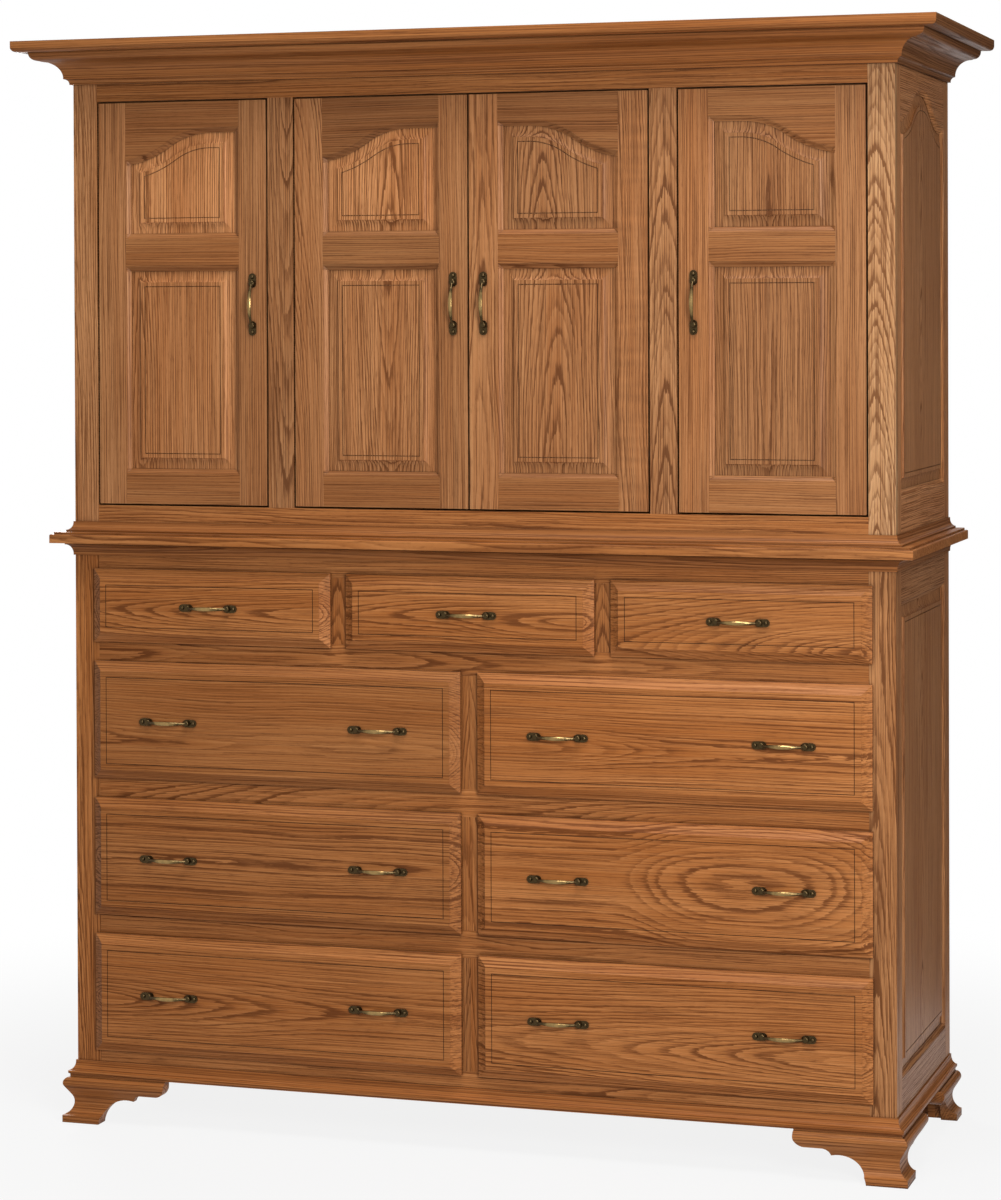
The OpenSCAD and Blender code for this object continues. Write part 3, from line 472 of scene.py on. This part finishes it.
def door_frame_oak(name, first_seed, door):
    """Stiles run up and down, rails run across, and each board has its own tone."""
    f = Finish(f"{name}_door_frame_oak")
    low, high = DOOR_EDGES[name]
    door_middle = 0.5 * (low + high)
    peak_side = f.x > door_middle if high < 0.0 else f.x < door_middle
    in_opening = f.either(
        f.between(f.z, LOW_RAIL_TOP + MOULDED_EDGE, LOCK_RAIL_LOW - MOULDED_EDGE),
        f.between(f.z, LOCK_RAIL_HIGH + MOULDED_EDGE, f.choose(peak_side, ARCH_FOOT, ARCH_PEAK)))
    edge = DOOR_STILE + in_opening * MOULDED_EDGE
    right = high - f.x < edge
    left = f.x - low < edge
    upright = f.either(left, right)
    past_low = f.z > PAST_LOW_RAIL
    past_lock = f.z > PAST_LOCK_RAIL
    seed = first_seed + f.choose(upright, 3.0 + (past_low + past_lock), right)
    along, across, depth = upright_or_level(f, upright)
    along = along - f.choose(upright, door_middle, UPPER_HALFWAY)
    bottom_rail, lock_rail, top_rail = RAIL_MIDDLES
    rail = f.choose(past_lock, f.choose(past_low, bottom_rail, lock_rail), top_rail)
    stile = f.choose(right, low + 0.5 * DOOR_STILE, high - 0.5 * DOOR_STILE)
    straight = cut(f.draw(seed, HEART_TURN, 0.05, 0.12), f.draw(seed, CLIMB_TURN, -0.02, 0.03),
                   0.03, 0.0038, 0.6)
    stiles = ((left, door.left_stile), (right, door.right_stile))
    livelier = [(mask, figure) for mask, figure in stiles if figure]
    # Rails are darker than stiles by their tone; past the lock rail the top rail is darker by 0.08
    # more, as painted shadow of the crown.
    return oak(f, along, across - f.choose(upright, rail, stile), depth - FRONT, seed,
               **by_board(f, straight, *livelier), curl=right * door.curl if door.curl else None,
               stain=mixed_stain(f, upright * 0.5 + 0.5, DRAWER_OAK, DOOR_OAK),
               lively=f.choose(upright, 0.8, 1.0),
               light=door.frame_light * f.choose(upright, 0.82 - 0.08 * past_lock, 1.0))


def door_panel_oak(name, first_seed, door):
    """Both panels of a door stand upright; each is its own board."""
    f = Finish(f"{name}_door_panel_oak")
    low, high = DOOR_EDGES[name]
    upper = f.z > UPPER_PANELS_FROM
    # No painted crease shade or stain on the open part of the cove.
    return oak(f, f.z - f.choose(upper, *PANEL_MIDDLES), f.x - 0.5 * (low + high), f.y - FRONT,
               first_seed + upper, **by_board(f, door.lower_panel, (upper, door.upper_panel)),
               lively=door.lively, light=door.panel_light,
               no_crease_shade=f.between(f.y, *COVE_WITHOUT_CREASE_SHADE))


def upper_face_frame_oak():
    """The upper case's face frame: arches climb the mullions and the pale stile on the right."""
    f = Finish("upper_face_frame_oak")
    side = abs(f.x)
    right = f.x > 0.0
    left = 1.0 - right
    corner = side > CASE_HALF - STILE
    mullion = f.between(side, *MULLION) * f.between(f.z, *DOOR_OPENING)
    upright = f.either(corner, mullion)
    top_rail = f.z > UPPER_HALFWAY
    seed = f.choose(upright, 1.0 + top_rail, 5.0 + corner * 2.0 + right)
    along, across, depth = upright_or_level(f, upright)
    middle = f.choose(corner, MULLION_MIDDLE, CASE_HALF - 0.5 * STILE)
    across = f.choose(upright, across - f.choose(top_rail, *UPPER_RAIL_MIDDLES),
                      f.x - middle * f.choose(right, -1.0, 1.0))
    cuts = by_board(
        f, cut(0.015, 0.015, 0.022, 0.0046, 1.0, pointed=0.05),
        (mullion * right, cut(-0.003, 0.065, 0.062, 0.0040, 0.3, pointed=0.12)),
        (mullion * left, cut(-0.013, -0.050, 0.040, 0.0042, 0.5, pointed=0.05)),
        (corner * right, cut(0.010, 0.105, 0.066, 0.0036, 0.25, pointed=0.14)),
        (corner * left, cut(0.035, 0.040, 0.030, 0.0042, 0.6, pointed=0.05)))
    pale = corner * f.choose(right, 0.15, 1.0) + mullion * 0.15
    stain = mixed_stain(f, upright, DRAWER_OAK, mixed_stain(f, pale, DOOR_OAK, PALE_OAK))
    return oak(f, along - upright * UPPER_HALFWAY, across, depth - FRONT, seed, **cuts, stain=stain,
               lively=f.choose(upright, 1.1, 1.45),
               light=f.choose(upright, 0.90, f.choose(mullion, 1.0, 0.84)))


def lower_face_frame_oak():
    """The lower case's face frame: level rails, upright stiles and muntins between the drawers."""
    f = Finish("lower_face_frame_oak")
    side = abs(f.x)
    right = f.x > 0.0
    corner = side > CASE_HALF - STILE
    row = (f.z - DRAWER_BASE) / ROW_PITCH
    in_row = (row.math("FRACT") < DRAWER_OPEN / ROW_PITCH) * (f.z > DRAWER_BASE)
    muntin = f.either(
        (side < MUNTIN_HALF) * in_row * (f.z < TOP_ROW_RAIL),
        f.between(side, *TOP_MUNTIN) * f.between(f.z, TOP_ROW, TOP_ROW + TOP_ROW_OPEN))
    upright = f.either(corner, muntin)
    rail = row.math("FLOOR")
    seed = 90.0 + f.choose(corner, f.choose(muntin, rail, rail * 2.0 + 20.0 + right), 60.0 + right)
    along, across, depth = upright_or_level(f, upright)
    middle = f.choose(corner, (f.z > TOP_ROW_RAIL) * TOP_MUNTIN_MIDDLE, CASE_HALF - 0.5 * STILE)
    across = f.choose(upright, across - (rail + RAIL_UP_ROW) * ROW_PITCH - DRAWER_BASE,
                      f.x - middle * f.choose(right, -1.0, 1.0))
    cuts = by_board(
        f, cut(f.draw(seed, HEART_TURN, -0.030, 0.030), f.draw(seed, CLIMB_TURN, -0.09, 0.05),
               0.040, 0.0046, 1.0),
        (muntin, cut(f.draw(seed, HEART_TURN, -0.02, 0.02), 0.06, 0.030, 0.0036, 0.8)),
        (corner, cut(f.choose(right, 0.030, 0.012), 0.035, 0.040, 0.0042, 0.7)))
    along = along - corner * LOWER_HALFWAY - muntin * rail * ROW_PITCH
    return oak(f, along, across, depth - FRONT, seed, **cuts,
               stain=mixed_stain(f, corner * right * 0.35, DRAWER_OAK, PALE_OAK),
               lively=f.choose(corner, 1.1, 1.3), light=f.choose(muntin, 1.0, 0.9))


def side_frame_oak(name, first_seed, opening, arch_rise, light):
    """The case sides' frames, seen from the side: stiles at both edges, rails between."""
    f = Finish(name)
    bottom, top = opening
    middle = 0.5 * (bottom + top)
    in_opening = f.between(f.z, bottom + MOULDED_EDGE, top - MOULDED_EDGE - arch_rise)
    edge = STILE + in_opening * MOULDED_EDGE
    back = BACK - f.y < edge
    upright = f.either(f.y - FRONT < edge, back)
    seed = first_seed + f.choose(upright, 5.0 + (f.z > middle), back) + (f.x > 0.0) * 11.0
    along, across, depth = upright_or_level(f, upright, "y")
    return oak(f, along, across - f.choose(upright, middle, HALFWAY_BACK), CASE_HALF - abs(depth),
               seed, heart=f.draw(seed, HEART_TURN, 0.02, 0.10), lively=1.4, light=light)


def side_panel_oak(first_seed):
    """The raised panels of the case sides, grain upright, painted darker as shade, the upper ones
    most.
    """
    f = Finish("side_panel_oak")
    upper = f.z > SLAB_UNDERSIDE
    # The panels' light numbers are painted shade on the case sides.
    return oak(f, f.z - f.choose(upper, *SIDE_PANEL_MIDDLES), f.y - HALFWAY_BACK,
               CASE_HALF - abs(f.x), first_seed + upper + (f.x > 0.0) * 4.0,
               **cut(0.01, 0.05, 0.05, 0.0038, 1.0), light=f.choose(upper, 0.78, 0.92))


def moulding_oak(name, first_seed, light=1.0, ring=0.0038, return_shade_factor=0.8):
    """Mitred mouldings: the front length runs across, and the side returns run back, painted darker
    as shade.
    """
    f = Finish(name)
    out = abs(f.x) - CASE_HALF
    beside = (out > FRONT - f.y) * (out > -MITRE_ROOM)
    along = f.choose(beside, f.x, f.y) * MOULDING_STRETCH
    depth = f.choose(beside, f.y - FRONT, CASE_HALF - abs(f.x))
    seed = first_seed + beside * (1.0 + (f.x > 0.0))
    # The side returns are painted darker, as shade on the sides.
    return oak(f, along, f.past_step(f.z, step=0.5), depth, seed,
               **cut(0.05, 0.012, 0.10, ring, 1.0), stain=DRAWER_OAK,
               light=light * f.choose(beside, 1.0, return_shade_factor))


class Front(NamedTuple):
    """Where the middle of a drawer front lies, across and up, and how its board was cut.

    lively is how strong its grain is, and light how light its wood.
    """
    middle: tuple
    cut: dict
    lively: float = 1.0
    light: float = 1.0


FRONTS = {
    "top_left": Front((-0.491, 0.951), cut(0.004, -0.050, 0.024, 0.0042, 1.0), lively=0.9),
    "top_centre": Front((0.0, 0.951), cut(0.008, -0.060, 0.022, 0.0052, 1.0, cap=0.034)),
    "top_right": Front((0.491, 0.951), cut(0.050, -0.170, 0.054, 0.0056, 0.4, cap=0.090),
                       light=0.97),
    "upper_left": Front((-0.369, 0.7415), cut(0.030, 0.016, 0.040, 0.0046, 0.8),
                        lively=0.75, light=0.88),
    "upper_right": Front((0.369, 0.7415), cut(0.019, 0.090, 0.030, 0.0066, 0.5, cap=0.034),
                         light=1.20),
    "middle_left": Front((-0.369, 0.4915), cut(-0.004, 0.012, 0.012, 0.0076, 0.8),
                         lively=1.15, light=0.90),
    "middle_right": Front((0.369, 0.4915),
                          cut(-0.002, -0.260, 0.080, 0.0092, 1.1, cap=0.105, bow=0.90),
                          lively=1.1, light=1.07),
    "bottom_left": Front((-0.369, 0.2415), cut(0.010, 0.085, 0.036, 0.0060, 0.6, cap=0.050),
                         light=0.92),
    "bottom_right": Front((0.369, 0.2415), cut(0.034, -0.085, 0.040, 0.0058, 0.4, cap=0.064),
                          lively=1.1)}


def drawer_front_oak(name, seed, front):
    """A drawer front is one wide board with level grain; its arches point along the climb."""
    f = Finish(f"{name}_drawer_front_oak")
    low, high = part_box(f"{name}_drawer_front")
    from_ends = (f.x - low[0]).math("MINIMUM", high[0] - f.x)
    from_edge = from_ends.math("MINIMUM", (f.z - low[2]).math("MINIMUM", high[2] - f.z))
    x, z = front.middle
    # The fine line round the front is painted darker, as shade and stain in its groove.
    return oak(f, f.x - x, f.z - z, f.y - FRONT + FRONT_PROUD, seed, **front.cut,
               stain=DRAWER_OAK, lively=front.lively, light=front.light,
               line=f.between(from_edge, *FRONT_LINE))


def slab_oak(first_seed):
    """The waist slab: its grain runs across, and two boards make up its depth."""
    f = Finish("slab_oak")
    return oak(f, f.x, f.y, f.z - SLAB_UNDERSIDE, first_seed + (f.y > HALFWAY_BACK), heart=0.12,
               stain=DRAWER_OAK)


def case_board_oak(first_seed):
    """Floors, tops, partitions and dust boards inside the cases."""
    f = Finish("case_board_oak")
    partition = f.between(abs(f.x), *PARTITION) * f.between(f.z, *PARTITION_HEIGHT)
    seed = (first_seed + f.count(f.z, per_metre=9.0) * (1.0 - partition)
            + partition * (f.x > 0.0) * 3.0)
    return oak(f, f.choose(partition, f.x, f.z - UPPER_HALFWAY), f.y,
               f.choose(partition, 0.0, abs(f.x) - PARTITION_FACE), seed, below=0.06)


def shelf_oak(seed):
    """The shelf is oak and the pins under it are steel."""
    f = Finish("shelf_and_pins")
    oak(f, f.x, f.y, f.z - UPPER_HALFWAY, seed, below=0.06)
    wood = Value(f, f.shader.inputs["Base Color"].links[0].from_socket)
    pin = f.z < SHELF_UNDERSIDE
    f.give({"Base Color": f.blend(pin, wood, STEEL), "Metallic": pin})
    return f.material


def guide_wood(first_seed):
    """Runners, guides and kickers: plain sealed strips that run back."""
    f = Finish("guide_and_kicker_wood")
    return oak(f, f.y, f.past_step(f.z, step=0.1), f.past_step(f.x, step=0.2),
               first_seed + f.count(f.z, per_metre=8.0), stain=PLAIN_WOOD, lively=0.5)


def drawer_box_wood(first_seed):
    """Sides run back, ends run across and the bottom lies flat, all of plain sealed wood."""
    f = Finish("drawer_box_wood")
    end = f.either(f.y < FRONT + BOX_END, f.y > BOX_BACK - BOX_END)
    seed = (first_seed + f.count(f.x, per_metre=3.1) + f.count(f.z, per_metre=4.0) * 5.0
            + end * 2.0)
    along = f.choose(end, f.y, f.x)
    depth = f.choose(end, f.x, f.y) * 0.1
    return oak(f, along, f.past_step(f.z, step=0.25), depth, seed, heart=0.08, below=0.05,
               stain=PLAIN_WOOD, lively=0.45, gloss=0.42)


def back_plywood(first_seed):
    """Rotary-cut plywood: broad, wandering figure standing upright."""
    f = Finish("back_plywood")
    return oak(f, f.z - 1.0, f.x * 0.5, f.y, first_seed + (f.z > SLAB_UNDERSIDE),
               **cut(0.02, 0.03, 0.08, 0.008, 1.0), stain=PLAIN_WOOD, lively=0.7, gloss=0.5)


def antique_brass(name, plane):
    """Brass, brown in its hollows and rubbed bright where fingers reach, with steel screws.

    plane is where the face of the wood lies that the pull is screwed to.
    """
    f = Finish(name)
    proud = (plane - f.y) / PULL_PROUD
    patch = f.noise(f.x, f.y, f.z, scale=130.0, detail=4.0, roughness=0.6)
    fine = f.noise(f.x, f.y, f.z, scale=900.0, detail=2.0)
    rubbed = f.ramp(proud + (patch - 0.5) * 0.4, 0.70, 1.05)
    screw = f.y > plane + SCREW_SINK
    f.give({"Base Color": f.blend(screw, f.blend(rubbed, PATINA, RUBBED_BRASS), STEEL),
            "Metallic": 1.0, "Roughness": f.choose(rubbed, 0.27, 0.22) + (fine - 0.5) * 0.12,
            "Normal": f.bump(patch + fine * 0.4, strength=0.12, distance=0.0003)})
    return f.material


def nickelled_steel():
    """Nickel with fine brushed lines, for the hinges."""
    f = Finish("nickelled_steel")
    brushed = f.noise(f.x * 60.0, f.y * 60.0, f.z * 900.0, detail=2.0)
    f.give({"Base Color": f.blend(brushed, DULL_NICKEL, BRIGHT_NICKEL), "Metallic": 1.0,
            "Roughness": f.ramp(brushed, 0.2, 0.8, 0.24, 0.38)})
    return f.material


def dress(material, *node_names):
    """Gives one material to each named node."""
    for name in node_names:
        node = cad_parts[name]
        if not node.material_slots:
            node.data.materials.append(material)
        for slot in node.material_slots:
            slot.material = material


def dress_chest():
    """Dresses every node; each oak finish starts from a seed of its own."""
    for number, (name, door) in enumerate(DOORS.items()):
        dress(door_frame_oak(name, 100.0 + 13.0 * number, door), f"{name}_door_frame")
        dress(door_panel_oak(name, 200.0 + 7.0 * number, door), f"{name}_door_panels")
    for number, (name, front) in enumerate(FRONTS.items()):
        dress(drawer_front_oak(name, 500.0 + 3.0 * number, front), f"{name}_drawer_front")
    dress(upper_face_frame_oak(), "upper_face_frame")
    dress(lower_face_frame_oak(), "lower_face_frame")
    # The light numbers of the side frames set, part by part, how dark the case sides are painted:
    # painted shade on the sides.
    dress(side_frame_oak("upper_side_frame_oak", 600.0, UPPER_SIDE_OPENING, arch_rise=ARCH_RISE,
                         light=1.026), "upper_side_frames")
    dress(side_frame_oak("lower_side_frame_oak", 640.0, LOWER_SIDE_OPENING, arch_rise=0.0,
                         light=0.8856), "lower_side_frames")
    dress(side_panel_oak(300.0), "side_panels")
    # The crown is painted darker all over as shade, and its side returns darker still.
    dress(moulding_oak("crown_oak", 400.0, light=0.80, return_shade_factor=0.62), "crown_moulding")
    dress(moulding_oak("waist_moulding_oak", 420.0, light=0.9),
          "waist_cove_moulding", "upper_base_moulding")
    dress(moulding_oak("base_moulding_oak", 430.0), "base_moulding")
    dress(moulding_oak("foot_oak", 440.0, ring=0.0046), "bracket_feet")
    dress(slab_oak(700.0), "waist_slab")
    dress(case_board_oak(800.0), "upper_case_boards", "dust_boards")
    dress(shelf_oak(830.0), "shelf")
    dress(guide_wood(860.0), "drawer_guides")
    dress(back_plywood(950.0), "back_panels")
    dress(drawer_box_wood(900.0), *(f"{name}_drawer_box" for name in FRONTS))
    dress(antique_brass("drawer_pull_brass", FRONT - FRONT_PROUD),
          *(f"{name}_drawer_pulls" for name in FRONTS))
    dress(antique_brass("door_pull_brass", FRONT), *(f"{name}_door_pull" for name in DOORS))
    dress(nickelled_steel(), *(f"{name}_door_hinge_cups" for name in DOORS), "hinge_arms")


def seen_directly(tree):
    """1 for camera, glossy and transmission rays, which see the white of the studio."""
    return tree.either(*(tree.add("ShaderNodeLightPath", output=f"Is {kind} Ray")
                         for kind in ("Camera", "Glossy", "Transmission")))


def matt(name, grey):
    """Dead flat paint of one grey."""
    f = Finish(name)
    f.give({"Base Color": (grey, grey, grey, 1), "Roughness": 1.0, "Specular IOR Level": 0.0})
    return f


def stage_card(name, corners, finish):
    """A flat piece of the stage, which isn't part of the chest."""
    mesh = bpy.data.meshes.new(name)
    mesh.from_pydata(corners, [], [(0, 1, 2, 3)])
    mesh.materials.append(finish.material)
    card = bpy.data.objects.new(name, mesh)
    bpy.context.scene.collection.objects.link(card)
    return card


def plain_floor():
    """A pale floor that keeps the chest's shadow and runs out into white."""
    f = matt("floor_white", 0.55)
    back = f.y - HALFWAY_BACK
    away = (f.x * f.x + back * back) ** 0.5
    white = f.nodes.new("ShaderNodeEmission")
    mix = f.nodes.new("ShaderNodeMixShader")
    f.put(mix.inputs[0], seen_directly(f) * f.ramp(away, 0.8, 2.2, 0.86, 1.0))
    f.links.new(f.shader.outputs["BSDF"], mix.inputs[1])
    f.links.new(white.outputs["Emission"], mix.inputs[2])
    f.links.new(mix.outputs["Shader"], f.output.inputs["Surface"])
    reach = 40.0
    corners = [(-reach, -reach, 0), (reach, -reach, 0), (reach, reach, 0), (-reach, reach, 0)]
    stage_card("floor", corners, f)


def dark_flag():
    """A dim card behind on the right, met by glossy rays only: the shaded side stays deep."""
    left, right, behind, top = 0.80, 7.0, 1.2, 5.0
    corners = [(left, behind, 0), (right, behind, 0), (right, behind, top), (left, behind, top)]
    flag = stage_card("dark_flag", corners, matt("dark_card", 0.06))
    for kind in ("camera", "diffuse", "shadow", "transmission", "volume_scatter"):
        setattr(flag, f"visible_{kind}", False)


class Lamp(NamedTuple):
    """A soft lamp: where it hangs, where it points, its width and height, and its power."""
    place: tuple
    target: tuple
    size: tuple
    watts: float


LAMPS = {
    "key_lamp": Lamp((2.2, -3.3, 2.1), (0.1, -0.2, 1.0), (1.2, 1.2), 84.0),
    "overhead_lamp": Lamp((0.6, -1.35, 4.2), (0.05, -0.3, 0.8), (2.2, 1.2), 92.0),
    "strip_lamp": Lamp((3.3, -3.4, 1.55), (0.1, -0.2, 1.45), (0.7, 1.3), 26.0),
    "back_lamp": Lamp((-2.9, 3.6, 2.3), (0.0, 0.2, 1.0), (1.5, 1.5), 120.0)}
ROOM_LIGHT = 0.08


def studio():
    """The lamps in a dim room that is white where it is seen directly."""
    for name, lamp in LAMPS.items():
        light = bpy.data.lights.new(name, "AREA")
        light.shape = "RECTANGLE"
        light.size, light.size_y = lamp.size
        light.energy = lamp.watts
        holder = bpy.data.objects.new(name, light)
        holder.location = lamp.place
        aim = Vector(lamp.target) - Vector(lamp.place)
        holder.rotation_euler = aim.to_track_quat("-Z", "Y").to_euler()
        bpy.context.scene.collection.objects.link(holder)
    world = bpy.data.worlds.new("studio")
    bpy.context.scene.world = world
    world.use_nodes = True
    f = Tree(world.node_tree)
    room = f.nodes.new("ShaderNodeBackground")
    room.inputs["Color"].default_value = (1, 1, 1, 1)
    f.put(room.inputs["Strength"], f.choose(seen_directly(f), ROOM_LIGHT, 1.0))
    output = f.nodes.new("ShaderNodeOutputWorld")
    f.links.new(room.outputs["Background"], output.inputs["Surface"])


# The photograph's camera. Its frame, focal length and centre are in the photograph's pixels.
PHOTO_WIDTH = 1001.0
PHOTO_HEIGHT = 1200.0
FOCAL_LENGTH = 3263.9
PHOTO_CENTRE = (496.8, 347.25)
CAMERA_PLACE = (1.80902, -5.47171 + FRONT, 1.48285)
YAW = 0.31063
PITCH = -0.01041
ROLL = -0.00353
SENSOR = 36.0


def photo_camera():
    """The camera stands right of the chest, about 5.5 m in front, at 1.48 m, and looks level."""
    ahead = Vector((-math.sin(YAW), math.cos(YAW), 0.0))
    right = Vector((math.cos(YAW), math.sin(YAW), 0.0))
    up = Vector((0.0, 0.0, 1.0))
    forward = ahead * math.cos(PITCH) + up * math.sin(PITCH)
    upward = up * math.cos(PITCH) - ahead * math.sin(PITCH)
    rightward = right * math.cos(ROLL) + upward * math.sin(ROLL)
    upward = upward * math.cos(ROLL) - right * math.sin(ROLL)
    lens = bpy.data.cameras.new("photo_camera")
    lens.sensor_fit = "AUTO"
    lens.sensor_width = SENSOR
    lens.lens = FOCAL_LENGTH / PHOTO_HEIGHT * SENSOR
    lens.shift_x = (0.5 * PHOTO_WIDTH - PHOTO_CENTRE[0]) / PHOTO_HEIGHT
    lens.shift_y = (PHOTO_CENTRE[1] - 0.5 * PHOTO_HEIGHT) / PHOTO_HEIGHT
    lens.clip_end = 100.0
    camera = bpy.data.objects.new("photo_camera", lens)
    turn = Matrix((rightward, upward, -forward)).transposed()
    camera.matrix_world = Matrix.Translation(CAMERA_PLACE) @ turn.to_4x4()
    bpy.context.scene.collection.objects.link(camera)
    bpy.context.scene.camera = camera


dress_chest()
plain_floor()
studio()
dark_flag()
photo_camera()
bpy.context.scene.view_settings.view_transform = "Standard"
